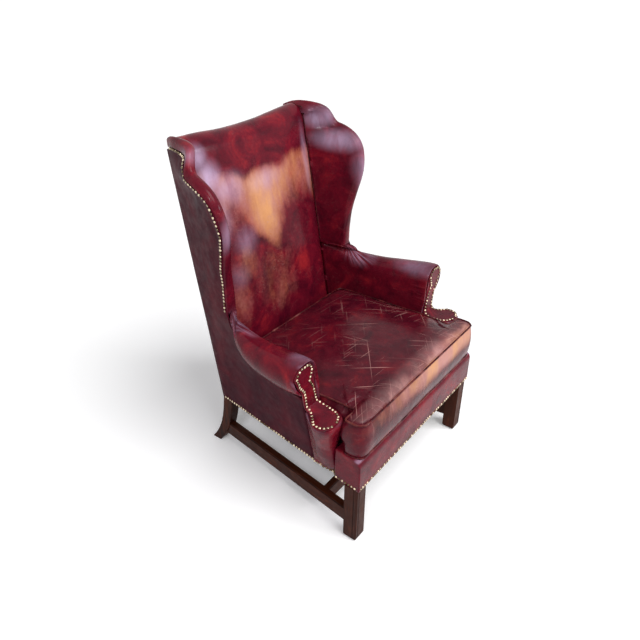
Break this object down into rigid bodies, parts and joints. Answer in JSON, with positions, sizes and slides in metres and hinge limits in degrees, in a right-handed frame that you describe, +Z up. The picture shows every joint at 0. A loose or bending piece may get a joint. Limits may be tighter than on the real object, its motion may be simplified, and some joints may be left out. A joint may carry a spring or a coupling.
{
  "type": "wing armchair",
  "caption": "High-backed wing armchair with rolled arms, flared wings, a loose T-shaped seat cushion, nailed leather and square legs joined by stretchers.",
  "frame": {"origin": "on the floor, at the middle of the bounding box's underside", "axes": "+Z up, -Y the front of the chair, +X to the sitter's left"},
  "size_m": [0.8366, 0.7699, 1.1008],
  "materials": {
    "oxblood_leather": "aged, waxed, semi-gloss",
    "worn_leather": "rubbed to tan at the front edge",
    "welt_leather": "aged, waxed",
    "mahogany": "dark stained, waxed",
    "beech": "bare, planed",
    "jute": "woven jute",
    "black_cloth": "plain woven",
    "lining_cloth": "plain cotton",
    "feather_foam": "soft filling",
    "spring_steel": "drawn wire",
    "nail_brass": "antique, softly polished",
    "zip_brass": "plain"
  },
  "bodies": {
    "chair": {"front_leg_left": "mahogany", "front_leg_right": "mahogany", "rear_leg_left": "mahogany", "rear_leg_right": "mahogany", "side_stretcher_left": "mahogany", "side_stretcher_right": "mahogany", "cross_stretcher": "mahogany", "front_rail": "beech", "rear_rail": "mahogany", "side_rail_left": "beech", "side_rail_right": "beech", "corner_blocks": "beech", "back_post_left": "beech", "back_post_right": "beech", "crest_rail": "beech", "lower_back_rail": "beech", "wing_rail_left": "beech", "wing_rail_right": "beech", "arm_rail_left": "beech", "arm_rail_right": "beech", "arm_post_left": "beech", "arm_post_right": "beech", "seat_webbing": "jute", "seat_springs": "spring_steel", "seat_hessian": "jute", "back_webbing": "jute", "dust_cover": "black_cloth", "seat_deck": "lining_cloth", "front_border": "oxblood_leather", "inside_back": "oxblood_leather", "outside_back": "oxblood_leather", "inside_wing_left": "oxblood_leather", "inside_wing_right": "oxblood_leather", "outside_panel_left": "oxblood_leather", "outside_panel_right": "oxblood_leather", "arm_pad_left": "oxblood_leather", "arm_pad_right": "oxblood_leather", "arm_column_left": "oxblood_leather", "arm_column_right": "oxblood_leather", "arm_facing_left": "oxblood_leather", "arm_facing_right": "oxblood_leather", "back_welt_left": "welt_leather", "back_welt_right": "welt_leather", "nails_front": "nail_brass", "nails_rear": "nail_brass", "nails_left": "nail_brass", "nails_right": "nail_brass", "nails_facing_left": "nail_brass", "nails_facing_right": "nail_brass"},
    "cushion": {"cushion_core": "feather_foam", "cushion_top": "worn_leather", "cushion_boxing": "worn_leather", "cushion_bottom": "lining_cloth", "cushion_welt_top": "welt_leather", "cushion_welt_bottom": "welt_leather", "cushion_zip": "zip_brass"},
    "zip_slider": {"zip_slider": "zip_brass"}
  },
  "joints": [
    {"name": "cushion_lift", "type": "slide", "parent": "chair", "child": "cushion", "axis": [0, -0.866, 0.5], "range_m": [0, 0.7]},
    {"name": "zip_run", "type": "slide", "parent": "cushion", "child": "zip_slider", "axis": [1, 0, 0], "range_m": [0, 0.409]}
  ]
}
